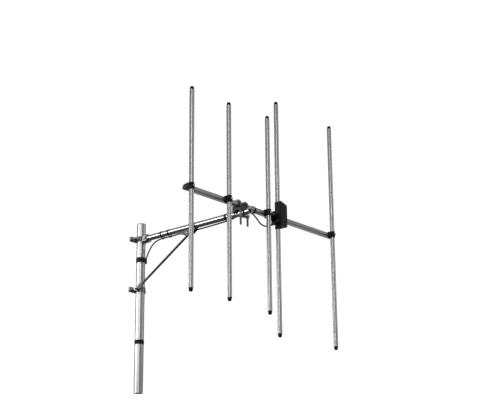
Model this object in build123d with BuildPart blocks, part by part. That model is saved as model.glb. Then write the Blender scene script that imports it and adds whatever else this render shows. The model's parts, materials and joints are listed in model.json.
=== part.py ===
"""Five-element VHF yagi antenna on a braced side arm, clamped to a mast stub.

Millimetres. Origin: centre of the mast's open lower end. +Z up along the mast, +Y along the side
arm from the mast to the boom, +X along the boom towards the directors (the direction of the beam).
"""
import os
from math import pi, radians, tan

from build123d import *

# ---------------------------------------------------------------- driving dimensions
mast_diameter = 38.0
mast_wall = 2.0
mast_length = 721.0

arm_diameter = 25.0
arm_wall = 2.0
arm_height = 654.0            # arm axis above the mast's lower end
arm_start = 26.0              # inner end of the arm tube, from the mast axis
arm_overhang = 48.0           # how far the arm runs past the boom's axis

boom_diameter = 25.0
boom_wall = 1.5
boom_reach = 566.0            # boom axis from the mast axis
boom_height = 684.0
boom_front = 311.0            # ends of the boom tube
boom_rear = -588.0

element_diameter = 19.0
element_wall = 1.0
element_offset = 23.5         # element axes in front of the boom axis
reflector_place, reflector_length = -573.0, 977.0
dipole_place, dipole_length = -202.0, 972.0
director_places = {"director_1": -143.0, "director_2": 94.0, "director_3": 304.0}
director_lengths = {"director_1": 808.0, "director_2": 778.0, "director_3": 776.0}

cable_diameter = 6.0
brace_diameter = 10.0
brace_clamp_height = 434.0
strap_height = 22.0
strap_thickness = 3.0
running_gap = 0.3             # between clamps and the tubes that turn in them
fit_gap = 0.05                # bolts in their holes, caps and plugs in their tubes

# ---------------------------------------------------------------- derived dimensions
mast_radius = mast_diameter / 2
arm_radius = arm_diameter / 2
boom_radius = boom_diameter / 2
element_radius = element_diameter / 2
cable_radius = cable_diameter / 2
element_y = boom_reach + element_offset
arm_end = boom_reach + arm_overhang
strap_inner = mast_radius + running_gap
strap_outer = strap_inner + strap_thickness
element_places = {"reflector": reflector_place, **director_places}
element_lengths = {"reflector": reflector_length, **director_lengths}

os.makedirs("parts", exist_ok=True)


def save(part, name):
    """Labels a finished piece and writes it under its own name."""
    part.label = name
    export_step(part, f"parts/{name}.step")


def along_x(x, y, z):
    """Plane at a point whose normal is +X; its local x runs along +Y."""
    return Plane(origin=(x, y, z), x_dir=(0, 1, 0), z_dir=(1, 0, 0))


def along_y(x, y, z):
    """Plane at a point whose normal is +Y; its local x runs along +X and local y along -Z."""
    return Plane(origin=(x, y, z), x_dir=(1, 0, 0), z_dir=(0, 1, 0))


def tube(radius, wall, length, plane):
    """Builds a plain tube that starts on a plane."""
    with BuildPart() as made:
        with BuildSketch(plane):
            Circle(radius)
            Circle(radius - wall, mode=Mode.SUBTRACT)
        extrude(amount=length)
    return made.part


# ---------------------------------------------------------------- mast
plug_depth = 16.0
plug_flange = 3.0
plug_bore = mast_radius - mast_wall + 0.4
with BuildPart() as mast_tube:
    with BuildSketch(Plane.XY):
        Circle(mast_radius)
        Circle(mast_radius - mast_wall, mode=Mode.SUBTRACT)
    extrude(amount=mast_length)
    with BuildSketch(Plane.XY.offset(mast_length - plug_depth)):
        Circle(plug_bore)
    extrude(amount=plug_depth, mode=Mode.SUBTRACT)
    outer_rims = [edge for edge in mast_tube.edges().filter_by(GeomType.CIRCLE)
                  if edge.radius > mast_radius - 0.1]
    chamfer(outer_rims, 0.5)
save(mast_tube.part, "mast_tube")

with BuildPart() as mast_top_plug:
    with BuildSketch(Plane.XY.offset(mast_length - plug_depth)):
        Circle(plug_bore - fit_gap)
    extrude(amount=plug_depth)
    with BuildSketch(Plane.XY.offset(mast_length)):
        Circle(mast_radius)
    extrude(amount=plug_flange)
    fillet(mast_top_plug.edges().filter_by(GeomType.CIRCLE).sort_by(Axis.Z)[-1], 1.8)
save(mast_top_plug.part, "mast_top_plug")

# ---------------------------------------------------------------- mast clamps
bar_thickness = 5.0
bar_half = 46.0
clamp_bolt_place = 34.0
clamp_bolt_radius = 4.0
bar_front = -strap_inner                  # inner face of the back bar
ear_front = bar_front + strap_thickness


def strap_outline():
    """Omega outline of a strap: round the mast's front, straight legs back, ears outwards."""
    with BuildSketch(Plane.XY) as outline:
        Circle(strap_outer)
        with Locations((0, bar_front / 2)):
            Rectangle(2 * strap_outer, -bar_front)
        with Locations((0, bar_front + strap_thickness / 2)):
            Rectangle(2 * bar_half, strap_thickness)
        with Locations((0, -strap_outer)):
            Rectangle(2 * strap_outer, 2 * (strap_outer - strap_inner), mode=Mode.SUBTRACT)
        Circle(strap_inner, mode=Mode.SUBTRACT)
        with Locations((0, bar_front / 2)):
            Rectangle(2 * strap_inner, -bar_front, mode=Mode.SUBTRACT)
    return outline.sketch


def mast_strap(height):
    """One omega strap with its two bolt holes, centred on a height."""
    ear_corner = 8.0
    with BuildPart() as strap:
        with BuildSketch(Plane.XY.offset(height - strap_height / 2)):
            add(strap_outline())
        extrude(amount=strap_height)
        tips = [edge for edge in strap.edges().filter_by(Axis.Y)
                if abs(edge.center().X) > bar_half - 0.1]
        fillet(tips, ear_corner)
        with BuildSketch(along_y(0, bar_front - 1, height)):
            with Locations((-clamp_bolt_place, 0), (clamp_bolt_place, 0)):
                Circle(clamp_bolt_radius + fit_gap)
        extrude(amount=strap_thickness + 2, mode=Mode.SUBTRACT)
    return strap.part


def back_bar(height):
    """Flat bar behind the mast with two bolt holes and rounded ends."""
    end_corner = 8.0
    with BuildPart() as bar:
        with BuildSketch(along_y(0, bar_front - bar_thickness, height)):
            RectangleRounded(2 * bar_half, strap_height, end_corner)
            with Locations((-clamp_bolt_place, 0), (clamp_bolt_place, 0)):
                Circle(clamp_bolt_radius + fit_gap, mode=Mode.SUBTRACT)
        extrude(amount=bar_thickness)
    return bar.part


socket_outer = 15.5
socket_length = 27.0
socket_start = strap_outer - 1.5
socket_bolt_y = 38.0
socket_bolt_radius = 3.0
with BuildPart() as arm_socket:
    with BuildSketch(along_y(0, socket_start, arm_height)):
        RectangleRounded(2 * socket_outer, 2 * socket_outer, 5)
        Circle(arm_radius + fit_gap, mode=Mode.SUBTRACT)
    extrude(amount=socket_length)
    with BuildSketch(Plane.XY.offset(arm_height - 2 * socket_outer)):
        Circle(strap_outer)
    extrude(amount=4 * socket_outer, mode=Mode.SUBTRACT)
    with BuildSketch(along_x(-2 * socket_outer, socket_bolt_y, arm_height)):
        Circle(socket_bolt_radius + fit_gap)
    extrude(amount=4 * socket_outer, mode=Mode.SUBTRACT)
save(arm_socket.part, "arm_socket")

save(mast_strap(arm_height), "upper_mast_strap")
save(back_bar(arm_height), "upper_back_bar")

stud_y = 7.0
stud_radius = 4.0
stud_reach = 42.0
with BuildPart() as lower_mast_strap:
    add(mast_strap(brace_clamp_height))
    with BuildSketch(along_x(strap_outer - 4, stud_y, brace_clamp_height)):
        Circle(stud_radius)
    extrude(amount=stud_reach - strap_outer + 4)
    with BuildSketch(Plane.XY.offset(brace_clamp_height - stud_radius)):
        Circle(strap_inner)
    extrude(amount=2 * stud_radius, mode=Mode.SUBTRACT)
    chamfer(lower_mast_strap.edges().filter_by(GeomType.CIRCLE).sort_by(Axis.X)[-1], 0.8)
save(lower_mast_strap.part, "lower_mast_strap")
save(back_bar(brace_clamp_height), "lower_back_bar")

head_height = 5.3
head_across = 13.0
nut_height = 6.5
washer_radius = 8.0
washer_thickness = 1.6
clamp_bolt_tail = 6.0
bar_back = bar_front - bar_thickness
clamp_places = [(side * clamp_bolt_place, height)
                for height in (arm_height, brace_clamp_height) for side in (-1, 1)]


def outermost(piece, plane):
    """The circular edge farthest along a plane's normal."""
    circles = piece.edges().filter_by(GeomType.CIRCLE)
    return sorted(circles, key=lambda edge: (edge.center() - plane.origin).dot(plane.z_dir))[-1]


def hexagon(plane, across, height, hole=0.0):
    """A hexagon head or nut that stands on a plane, lightly chamfered, bored if hole is given."""
    with BuildPart() as made:
        with BuildSketch(plane):
            RegularPolygon(across / 2, 6, major_radius=False)
            if hole:
                Circle(hole, mode=Mode.SUBTRACT)
        extrude(amount=height)
        with BuildSketch(plane):
            Circle(across / 2 * 1.12)
        extrude(amount=height, mode=Mode.INTERSECT)
    return made.part


def washer(plane, outer, hole, thickness):
    """A flat washer that stands on a plane."""
    with BuildPart() as made:
        with BuildSketch(plane):
            Circle(outer)
            Circle(hole, mode=Mode.SUBTRACT)
        extrude(amount=thickness)
    return made.part


def bolt(head_plane, shank_radius, shank_length, across, height):
    """Hexagon bolt: the shank runs along the plane's normal, the head on the other side."""
    with BuildPart() as made:
        with BuildSketch(head_plane):
            Circle(shank_radius)
        extrude(amount=shank_length)
        with BuildSketch(head_plane):
            RegularPolygon(across / 2, 6, major_radius=False)
        extrude(amount=-height)
        chamfer(outermost(made, head_plane), 0.6)
    return made.part


def group(pieces, name):
    """Writes several identical separate solids as one node."""
    save(Compound(children=list(pieces)), name)


clamp_shank = bar_thickness + strap_thickness + 2 * washer_thickness + nut_height + clamp_bolt_tail
group([bolt(along_y(x, bar_back - washer_thickness, z), clamp_bolt_radius, clamp_shank,
            head_across, head_height) for x, z in clamp_places], "mast_clamp_bolts")
group([hexagon(along_y(x, ear_front + washer_thickness, z), head_across, nut_height,
               clamp_bolt_radius + fit_gap) for x, z in clamp_places], "mast_clamp_nuts")
group([washer(along_y(x, y, z), washer_radius, clamp_bolt_radius + fit_gap, washer_thickness)
       for x, z in clamp_places for y in (bar_back - washer_thickness, ear_front)],
      "mast_clamp_washers")

# ---------------------------------------------------------------- side arm
cross_bolt_radius = 3.0
bracket_bolt_y = 316.0
with BuildPart() as arm_tube:
    with BuildSketch(along_y(0, arm_start, arm_height)):
        Circle(arm_radius)
        Circle(arm_radius - arm_wall, mode=Mode.SUBTRACT)
    extrude(amount=arm_end - arm_start)
    for bolt_y in (socket_bolt_y, bracket_bolt_y):
        with BuildSketch(along_x(-arm_diameter, bolt_y, arm_height)):
            Circle(cross_bolt_radius + fit_gap)
        extrude(amount=2 * arm_diameter, mode=Mode.SUBTRACT)
save(arm_tube.part, "arm_tube")

cap_length = 14.0
cap_step = 1.4


def tube_cap(radius, wall, plane, head, plug):
    """Moulded end cap: a plug inside the tube and a narrower domed head, standing on a plane at
    the tube's end with its normal pointing outwards."""
    with BuildPart() as cap:
        with BuildSketch(plane.offset(-plug)):
            Circle(radius - wall - fit_gap)
        extrude(amount=plug)
        with BuildSketch(plane):
            Circle(radius - cap_step)
        extrude(amount=head)
        fillet(outermost(cap, plane), (radius - cap_step) * 0.9)
    return cap.part


with BuildPart() as arm_end_cap:
    with BuildSketch(along_y(0, arm_end - cap_length, arm_height)):
        Circle(arm_radius - arm_wall - fit_gap)
    extrude(amount=cap_length + 1.6)
    fillet(outermost(arm_end_cap, along_y(0, arm_end, arm_height)), 1.2)
save(arm_end_cap.part, "arm_end_cap")

small_across = 10.0
small_head = 4.0
small_nut = 5.0
small_washer_radius = 6.2


def cross_fastening(plane, grip, name):
    """M6 bolt, two washers and nut across a grip, as four separate solids of one node."""
    shank = grip + 2 * washer_thickness + small_nut + 2.5
    back = plane.offset(-washer_thickness)
    group([bolt(back, cross_bolt_radius, shank, small_across, small_head),
           washer(back, small_washer_radius, cross_bolt_radius + fit_gap, washer_thickness),
           washer(plane.offset(grip), small_washer_radius, cross_bolt_radius + fit_gap,
                  washer_thickness),
           hexagon(plane.offset(grip + washer_thickness), small_across, small_nut,
                   cross_bolt_radius + fit_gap)], name)


socket_side = Plane(origin=(socket_outer, socket_bolt_y, arm_height), x_dir=(0, 1, 0), z_dir=(-1, 0, 0))
cross_fastening(socket_side, 2 * socket_outer, "arm_socket_bolt")

# ---------------------------------------------------------------- diagonal brace
pin_y, pin_z = 286.0, 626.0
cheek_inner, cheek_outer = 6.4, 8.9
bracket_top = arm_height - arm_radius
bracket_plate = 2.5
bracket_near, bracket_far = 222.0, 326.0
saddle_near = 306.0
saddle_inner = arm_radius + fit_gap
saddle_outer = saddle_inner + 2.5
saddle_rise = 8.0
with BuildPart() as brace_bracket:
    with BuildSketch(Plane.XY.offset(bracket_top - bracket_plate)):
        with Locations((0, (bracket_near + bracket_far) / 2)):
            Rectangle(2 * cheek_outer, bracket_far - bracket_near)
    extrude(amount=bracket_plate)
    with BuildSketch(along_x(-cheek_outer, 0, 0)):
        with BuildLine():
            Polyline((bracket_near, bracket_top), (bracket_far, bracket_top),
                     (bracket_far, bracket_top - 6), (pin_y + 12, pin_z - 8),
                     (pin_y - 8, pin_z - 9), (bracket_near, bracket_top - 4), close=True)
        make_face()
    extrude(amount=2 * cheek_outer)
    with BuildSketch(along_x(-cheek_inner, 0, 0)):
        with Locations(((bracket_near + bracket_far) / 2, bracket_top - bracket_plate - 25)):
            Rectangle(2 * (bracket_far - bracket_near), 50)
    extrude(amount=2 * cheek_inner, mode=Mode.SUBTRACT)
    with BuildSketch(along_y(0, saddle_near, arm_height)):
        Circle(saddle_outer)
        Rectangle(2 * saddle_outer, 2 * saddle_rise)
    extrude(amount=bracket_far - saddle_near)
    with BuildSketch(along_y(0, saddle_near - 1, arm_height)):
        Circle(saddle_inner)
        with Locations((0, -saddle_rise)):
            Rectangle(2 * saddle_inner, 2 * saddle_rise)
        with Locations((0, -saddle_rise - 10)):
            Rectangle(3 * saddle_outer, 20)
    extrude(amount=bracket_far - saddle_near + 2, mode=Mode.SUBTRACT)
    with BuildSketch(along_y(0, bracket_near - 1, arm_height)):
        Circle(saddle_inner)
    extrude(amount=bracket_far - bracket_near + 2, mode=Mode.SUBTRACT)
    for hole_y, hole_z in ((pin_y, pin_z), (bracket_bolt_y, arm_height)):
        with BuildSketch(along_x(-saddle_outer - 5, hole_y, hole_z)):
            Circle(cross_bolt_radius + fit_gap)
        extrude(amount=2 * saddle_outer + 10, mode=Mode.SUBTRACT)
save(brace_bracket.part, "brace_bracket")

bracket_side = Plane(origin=(saddle_outer, bracket_bolt_y, arm_height), x_dir=(0, 1, 0), z_dir=(-1, 0, 0))
cross_fastening(bracket_side, 2 * saddle_outer, "brace_bracket_bolt")
pin_side = along_x(-cheek_outer, pin_y, pin_z)
cross_fastening(pin_side, 2 * cheek_outer, "brace_pin_bolt")

tab_thickness = 4.5
tab_radius = 10.0
tab_x = strap_outer + 0.2
foot_centre = Vector(tab_x + tab_thickness / 2, stud_y, brace_clamp_height)
pin_centre = Vector(0, pin_y, pin_z)
brace_run = pin_centre - foot_centre
brace_line = brace_run.normalized()
rod_start = foot_centre + brace_line * 14
rod_end_beyond = 9.0
with BuildPart() as brace_rod:
    with BuildSketch(Plane(origin=rod_start, z_dir=brace_line)):
        Circle(brace_diameter / 2)
    extrude(amount=brace_run.length - 14 + rod_end_beyond)
    foot_tilt = Vector(0, brace_line.Y, brace_line.Z).normalized()
    with BuildSketch(Plane(origin=foot_centre - Vector(tab_thickness / 2, 0, 0),
                           x_dir=foot_tilt, z_dir=(1, 0, 0))):
        SlotCenterPoint((12, 0), (24, 0), 2 * tab_radius)
    extrude(amount=tab_thickness)
    with BuildSketch(along_x(strap_outer - 5, stud_y, brace_clamp_height)):
        Circle(stud_radius + 0.2)
    extrude(amount=30, mode=Mode.SUBTRACT)
    with BuildSketch(along_x(-20, pin_y, pin_z)):
        Circle(cross_bolt_radius + fit_gap)
    extrude(amount=40, mode=Mode.SUBTRACT)
save(brace_rod.part, "brace_rod")

foot_face = along_x(tab_x + tab_thickness, stud_y, brace_clamp_height)
group([washer(foot_face, washer_radius, stud_radius + fit_gap, washer_thickness),
       hexagon(foot_face.offset(washer_thickness), head_across, nut_height, stud_radius + fit_gap)],
      "brace_foot_nut")

# ---------------------------------------------------------------- boom clamp on the arm
hook_radius = 4.0
hook_place = 20.4
seat_radius = boom_radius + running_gap
hook_bend = seat_radius + hook_radius + 0.6
block_half_x, block_half_y = 25.8, 24.5
block_bottom, block_top = boom_height - 24.0, boom_height - 5.0
plate_half_x = 27.0
plate_near, plate_far = boom_reach - 6.0, boom_reach + 27.0
plate_thickness = 5.0
plate_top = arm_height - 9.0
hook_tail = boom_height - 85.0
short_tail = block_bottom - nut_height - washer_thickness - 2.0
with BuildPart() as crossover_block:
    with BuildSketch(Plane.XY.offset(block_bottom)):
        with Locations((0, boom_reach)):
            RectangleRounded(2 * block_half_x, 2 * block_half_y, 4)
    extrude(amount=block_top - block_bottom)
    with BuildSketch(along_x(-block_half_x - 1, boom_reach, boom_height)):
        Circle(seat_radius)
    extrude(amount=2 * block_half_x + 2, mode=Mode.SUBTRACT)
    with BuildSketch(along_y(0, boom_reach - block_half_y - 1, arm_height)):
        Circle(arm_radius + fit_gap)
    extrude(amount=2 * block_half_y + 2, mode=Mode.SUBTRACT)
    with BuildSketch(Plane.XY.offset(block_bottom - 1)):
        with Locations((0, boom_reach)):
            with GridLocations(2 * hook_place, 2 * hook_bend, 2, 2):
                Circle(hook_radius + 0.1)
    extrude(amount=block_top - block_bottom + 2, mode=Mode.SUBTRACT)
save(crossover_block.part, "crossover_block")

saddle_half = 23.0
saddle_sheet = 0.5
with BuildPart() as boom_saddle:
    with BuildSketch(along_x(-saddle_half, boom_reach, boom_height)):
        Circle(seat_radius + saddle_sheet)
        Circle(seat_radius, mode=Mode.SUBTRACT)
        with Locations((0, block_top - boom_height - boom_radius)):
            Rectangle(3 * boom_radius, 2 * boom_radius, mode=Mode.SUBTRACT)
    extrude(amount=2 * saddle_half)
save(boom_saddle.part, "boom_saddle")


def hook_bolt(x):
    """Round hook over the boom: a long leg in front, a short one behind, both threaded."""
    near, far = boom_reach + hook_bend, boom_reach - hook_bend
    with BuildPart() as hook:
        with BuildLine():
            Line((x, near, hook_tail), (x, near, boom_height))
            ThreePointArc((x, near, boom_height), (x, boom_reach, boom_height + hook_bend),
                          (x, far, boom_height))
            Line((x, far, boom_height), (x, far, short_tail))
        with BuildSketch(Plane(origin=(x, near, hook_tail), z_dir=(0, 0, 1))):
            Circle(hook_radius)
        sweep()
        chamfer(hook.edges().filter_by(GeomType.CIRCLE).sort_by(Axis.Z)[0], 0.7)
    return hook.part


group([hook_bolt(x) for x in (-hook_place, hook_place)], "hook_bolts")

with BuildPart() as arm_saddle_plate:
    with BuildSketch(Plane.XY.offset(plate_top - plate_thickness)):
        with Locations((0, (plate_near + plate_far) / 2)):
            RectangleRounded(2 * plate_half_x, plate_far - plate_near, 4)
    extrude(amount=plate_thickness)
    with BuildSketch(along_y(0, plate_near - 1, arm_height)):
        Circle(arm_radius + 4)
    extrude(amount=plate_far - plate_near + 2)
    with BuildSketch(along_y(0, plate_near - 2, arm_height)):
        Circle(arm_radius + fit_gap)
    extrude(amount=plate_far - plate_near + 4, mode=Mode.SUBTRACT)
    with BuildSketch(Plane.XY.offset(plate_top)):
        with Locations((0, boom_reach)):
            Rectangle(200, 200)
    extrude(amount=60, mode=Mode.SUBTRACT)
    for end, side in ((plate_near, -1), (plate_far, 1)):
        with BuildSketch(along_y(0, end, arm_height)):
            Rectangle(60, 60)
        extrude(amount=side * 10, mode=Mode.SUBTRACT)
    with BuildSketch(Plane.XY.offset(plate_top - 40)):
        with Locations((-hook_place, boom_reach + hook_bend), (hook_place, boom_reach + hook_bend)):
            Circle(hook_radius + 0.1)
    extrude(amount=60, mode=Mode.SUBTRACT)
save(arm_saddle_plate.part, "arm_saddle_plate")

near_leg, far_leg = boom_reach + hook_bend, boom_reach - hook_bend
leg_seats = [(x, y, top) for x in (-hook_place, hook_place)
             for y, top in ((near_leg, plate_top - plate_thickness), (far_leg, block_bottom))]
down = {(x, y): Plane(origin=(x, y, top), x_dir=(1, 0, 0), z_dir=(0, 0, -1))
        for x, y, top in leg_seats}
group([washer(plane, 7.5, hook_radius + 0.1, washer_thickness) for plane in down.values()]
      + [hexagon(plane.offset(washer_thickness), head_across, nut_height, hook_radius + fit_gap)
         for plane in down.values()], "hook_bolt_nuts")

# ---------------------------------------------------------------- boom and elements
screw_radius = 3.0
screw_hole = screw_radius + 0.1
with BuildPart() as boom_tube:
    with BuildSketch(along_x(boom_rear, boom_reach, boom_height)):
        Circle(boom_radius)
        Circle(boom_radius - boom_wall, mode=Mode.SUBTRACT)
    extrude(amount=boom_front - boom_rear)
    for place in element_places.values():
        with BuildSketch(along_y(place, boom_reach - boom_diameter, boom_height)):
            Circle(screw_hole)
        extrude(amount=2 * boom_diameter, mode=Mode.SUBTRACT)
save(boom_tube.part, "boom_tube")

front_end = along_x(boom_front, boom_reach, boom_height)
rear_end = Plane(origin=(boom_rear, boom_reach, boom_height), x_dir=(0, 1, 0), z_dir=(-1, 0, 0))
for end, name in ((front_end, "boom_front_cap"), (rear_end, "boom_rear_cap")):
    with BuildPart() as flush_cap:
        with BuildSketch(end.offset(-3)):
            Circle(boom_radius - boom_wall - fit_gap)
        extrude(amount=3)
        with BuildSketch(end):
            Circle(boom_radius)
        extrude(amount=6)
        fillet(outermost(flush_cap, end), 4.6)
    save(flush_cap.part, name)

for name, place in element_places.items():
    length = element_lengths[name]
    with BuildPart() as element:
        with BuildSketch(Plane(origin=(place, element_y, boom_height - length / 2))):
            Circle(element_radius)
            Circle(element_radius - element_wall, mode=Mode.SUBTRACT)
        extrude(amount=length)
        with BuildSketch(along_y(place, element_y - element_diameter, boom_height)):
            Circle(screw_hole)
        extrude(amount=2 * element_diameter, mode=Mode.SUBTRACT)
    save(element.part, name)

sleeve_radius = element_radius + 1.9
clamp_half_z = 12.8
clamp_back, clamp_front = boom_reach + 6.5, element_y + sleeve_radius + 0.8
for name, place in element_places.items():
    with BuildPart() as element_clamp:
        with BuildSketch(Plane.XY.offset(boom_height - clamp_half_z)):
            with Locations((place, element_y)):
                Circle(sleeve_radius)
            with Locations((place, (clamp_back + element_y) / 2)):
                Rectangle(2 * sleeve_radius, element_y - clamp_back)
        extrude(amount=2 * clamp_half_z)
        with BuildSketch(along_y(place, element_y, boom_height)):
            Circle(7.0)
        extrude(amount=clamp_front - element_y)
        with BuildSketch(along_x(place - 20, boom_reach, boom_height)):
            Circle(boom_radius + fit_gap)
        extrude(amount=40, mode=Mode.SUBTRACT)
        with BuildSketch(Plane(origin=(place, element_y, boom_height - clamp_half_z - 1))):
            Circle(element_radius + fit_gap)
        extrude(amount=2 * clamp_half_z + 2, mode=Mode.SUBTRACT)
        with BuildSketch(along_y(place, clamp_back - 5, boom_height)):
            Circle(screw_hole)
        extrude(amount=clamp_front - clamp_back + 10, mode=Mode.SUBTRACT)
    save(element_clamp.part, f"{name}_clamp")

screw_length = clamp_front - boom_reach + boom_radius + 9.0
screw_head_radius = 5.5
screw_head_height = 3.2


def pan_screw(plane, radius, length, head_radius, head_height):
    """Pan-head screw: the shank runs against the plane's normal, the head stands on the plane."""
    with BuildPart() as screw:
        with BuildSketch(plane):
            Circle(radius)
        extrude(amount=-length)
        with BuildSketch(plane):
            Circle(head_radius)
        extrude(amount=head_height)
        fillet(outermost(screw, plane), head_height * 0.45)
        with BuildSketch(plane.offset(head_height)):
            RegularPolygon(head_radius * 0.5, 6)
        extrude(amount=-head_height * 0.6, mode=Mode.SUBTRACT)
    return screw.part


group([pan_screw(along_y(place, clamp_front, boom_height), screw_radius, screw_length,
                 screw_head_radius, screw_head_height) for place in element_places.values()],
      "element_screws")
behind = {place: Plane(origin=(place, boom_reach - boom_radius, boom_height), x_dir=(1, 0, 0), z_dir=(0, -1, 0))
          for place in element_places.values()}
group([washer(plane, small_washer_radius, screw_hole, washer_thickness)
       for plane in behind.values()]
      + [hexagon(plane.offset(washer_thickness), small_across, small_nut, screw_radius + fit_gap)
         for plane in behind.values()], "element_screw_nuts")

# ---------------------------------------------------------------- driven element
housing_front_x, housing_rear_x = dipole_place + element_radius + 1.5, dipole_place - 31.0
housing_half_front, housing_half_rear = 59.0, 47.0
housing_back, housing_rim = boom_reach + 11.5, boom_reach + 43.0
gasket_thickness = 1.0
cover_back = housing_rim + gasket_thickness
cover_front = cover_back + 5.5
housing_wall = 2.8
rod_inner_end = 52.0


def housing_outline(inset):
    """Side view of the housing: taller at the front of the boom, tapered towards the rear."""
    front, rear = housing_front_x - inset, housing_rear_x + inset
    with BuildSketch() as outline:
        with BuildLine():
            Polyline((front, boom_height - housing_half_front + inset),
                     (front, boom_height + housing_half_front - inset),
                     (rear, boom_height + housing_half_rear - inset),
                     (rear, boom_height - housing_half_rear + inset), close=True)
        make_face()
        fillet(outline.vertices(), 3.5)
    return outline.sketch


def slab(inset, near, far):
    """The housing outline as a solid between two distances from the mast."""
    with BuildPart() as made:
        with BuildSketch(Plane(origin=(0, near, 0), x_dir=(1, 0, 0), z_dir=(0, -1, 0))):
            add(housing_outline(inset))
        extrude(amount=-(far - near))
    return made.part


def rounded_slab(inset, far):
    """The housing outline as a solid whose rear edge next to the boom is rounded, shrunk by inset."""
    front, rear, near = housing_front_x - inset, housing_rear_x + inset, housing_back + inset
    with BuildPart() as made:
        add(slab(inset, near, far))
        with BuildSketch(Plane.XY.offset(boom_height - 2 * housing_half_front)) as section:
            with Locations(((front + rear) / 2, (near + far) / 2)):
                Rectangle(front - rear, far - near)
            corners = section.vertices().group_by(Axis.Y)[0]
            fillet(corners.sort_by(Axis.X)[-1], back_corner - inset)
        extrude(amount=4 * housing_half_front, mode=Mode.INTERSECT)
    return made.part


def gland_boss():
    """Slanted boss on the housing's front wall that the cable gland screws into."""
    with BuildPart() as made:
        with BuildSketch(gland_tilt.offset(-8)):
            Circle(8.6)
        extrude(amount=8 + gland_boss_height)
        with BuildSketch(along_x(housing_front_x - 1, boom_reach, boom_height)):
            Rectangle(200, 200)
        extrude(amount=-40, mode=Mode.SUBTRACT)
    return made.part


back_corner = 9.5
trough_outer = boom_radius + 4.0
trough_front = dipole_place + 43.0
gland_face = Vector(housing_front_x, boom_reach + 32.0, boom_height - 29.0)
gland_tilt = Plane(origin=gland_face, x_dir=(0, 1, 0), z_dir=(0.79, -0.35, -0.5))
gland_thread = 6.0
gland_boss_height = 7.6
gland_nut_height = 5.0
back_screw_places = [(dipole_place - 20.0, boom_height + side * 21.5) for side in (-1, 1)]
back_screw_radius = 2.5
cover_screw_x = (housing_front_x - 7.0, housing_rear_x + 7.0)
cover_screw_places = [(cover_screw_x[0], boom_height + side * 51.0) for side in (-1, 1)]
cover_screw_places += [(cover_screw_x[1], boom_height + side * 41.0) for side in (-1, 1)]
boss_radius = 4.6
cover_screw_radius = 1.75
with BuildPart() as dipole_housing:
    add(rounded_slab(0, housing_rim))
    add(gland_boss())
    add(rounded_slab(housing_wall, housing_rim + 1), mode=Mode.SUBTRACT)
    for x, z in cover_screw_places:
        with BuildSketch(along_y(x, housing_rim - 14, z)):
            Circle(boss_radius)
        extrude(amount=14)
    for x, z in back_screw_places:
        with BuildSketch(along_y(x, housing_back, z)):
            Circle(boss_radius)
        extrude(amount=14)
    with BuildSketch(along_x(dipole_place - 6, boom_reach, boom_height)):
        Circle(trough_outer)
        with Locations((0, trough_outer + 1)):
            Rectangle(3 * trough_outer, 2 * trough_outer, mode=Mode.SUBTRACT)
    extrude(amount=trough_front - dipole_place + 6)
    with BuildSketch(along_y(0, housing_back - 6, 0)):
        with BuildLine():
            Polyline((housing_front_x - 2, -(boom_height - 8)), (housing_front_x + 20, -(boom_height - 12)),
                     (housing_front_x - 2, -(boom_height - 34)), close=True)
        make_face()
    extrude(amount=10)
    with BuildSketch(along_x(housing_rear_x - 5, boom_reach, boom_height)):
        Circle(boom_radius + fit_gap)
    extrude(amount=110, mode=Mode.SUBTRACT)
    with BuildSketch(Plane(origin=(dipole_place, element_y, boom_height - 100))):
        Circle(element_radius + fit_gap)
    extrude(amount=100 - rod_inner_end, mode=Mode.SUBTRACT)
    with BuildSketch(Plane(origin=(dipole_place, element_y, boom_height + rod_inner_end))):
        Circle(element_radius + fit_gap)
    extrude(amount=60, mode=Mode.SUBTRACT)
    with BuildSketch(gland_tilt.offset(-9)):
        Circle(gland_thread + fit_gap)
    extrude(amount=30, mode=Mode.SUBTRACT)
    for x, z in cover_screw_places:
        with BuildSketch(along_y(x, housing_rim - 8, z)):
            Circle(cover_screw_radius + fit_gap)
        extrude(amount=9, mode=Mode.SUBTRACT)
    for x, z in back_screw_places:
        with BuildSketch(along_y(x, housing_back - 1, z)):
            Circle(back_screw_radius + fit_gap)
        extrude(amount=12, mode=Mode.SUBTRACT)
save(dipole_housing.part, "dipole_housing")

with BuildPart() as dipole_gasket:
    add(slab(0.3, housing_rim, cover_back))
    add(slab(housing_wall, housing_rim - 1, cover_back + 1), mode=Mode.SUBTRACT)
save(dipole_gasket.part, "dipole_gasket")

with BuildPart() as dipole_cover:
    add(slab(0, cover_back, cover_front))
    chamfer(dipole_cover.faces().sort_by(Axis.Y)[-1].edges(), 2.5)
    add(slab(housing_wall, cover_back - 1, cover_front - 2.6), mode=Mode.SUBTRACT)
    for x, z in cover_screw_places:
        with BuildSketch(along_y(x, cover_back, z)):
            Circle(boss_radius)
        extrude(amount=cover_front - cover_back - 1)
    for x, z in cover_screw_places:
        with BuildSketch(along_y(x, cover_back - 1, z)):
            Circle(cover_screw_radius + fit_gap)
        extrude(amount=10, mode=Mode.SUBTRACT)
        with BuildSketch(along_y(x, cover_front - 2.2, z)):
            Circle(3.4)
        extrude(amount=5, mode=Mode.SUBTRACT)
save(dipole_cover.part, "dipole_cover")
group([pan_screw(along_y(x, cover_front - 2.2, z), cover_screw_radius, 10.0, 3.2, 2.0)
       for x, z in cover_screw_places], "dipole_cover_screws")

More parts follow.
